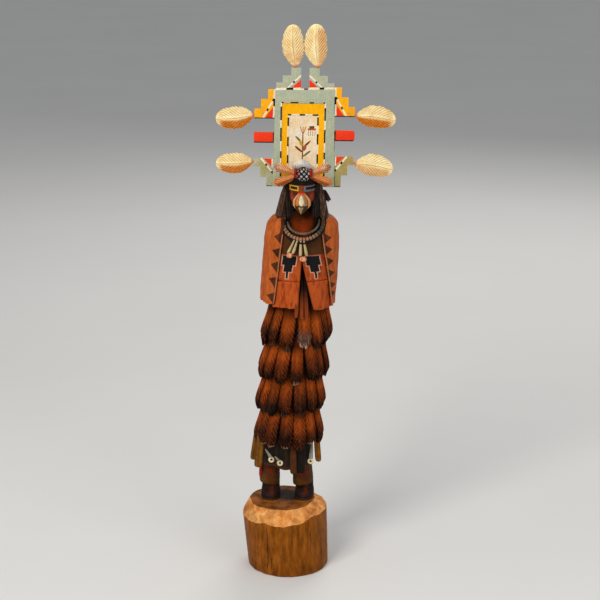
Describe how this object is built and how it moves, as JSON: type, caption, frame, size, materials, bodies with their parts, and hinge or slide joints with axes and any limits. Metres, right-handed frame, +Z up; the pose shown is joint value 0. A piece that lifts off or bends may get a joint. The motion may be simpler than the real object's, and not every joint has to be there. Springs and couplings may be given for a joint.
{
  "type": "kachina doll",
  "caption": "Carved wooden kachina doll in a feathered skirt and cape, with a stepped board headdress and wooden feathers, standing on a section of log.",
  "frame": {"origin": "centre of the log's flat underside, which stands on the surface", "axes": "+Z up along the figure, -Y the way the figure faces, +X to the right as seen from its front"},
  "size_m": [0.1392, 0.0708, 0.4439],
  "materials": {
    "log": "oiled, satin",
    "figure": "stained and painted, satin",
    "board": "painted, matt",
    "plume": "stained, satin",
    "brow": "painted, satin"
  },
  "bodies": {
    "root": {"plinth_log": "log", "figure": "figure", "tableta_board": "board", "plume_crown_left": "plume", "plume_crown_right": "plume", "plume_upper_left": "plume", "plume_upper_right": "plume", "plume_lower_left": "plume", "plume_lower_right": "plume", "brow_cluster": "brow", "brow_feather_upper_left": "brow", "brow_feather_upper_right": "brow", "brow_feather_lower_left": "brow", "brow_feather_lower_right": "brow"}
  },
  "joints": []
}
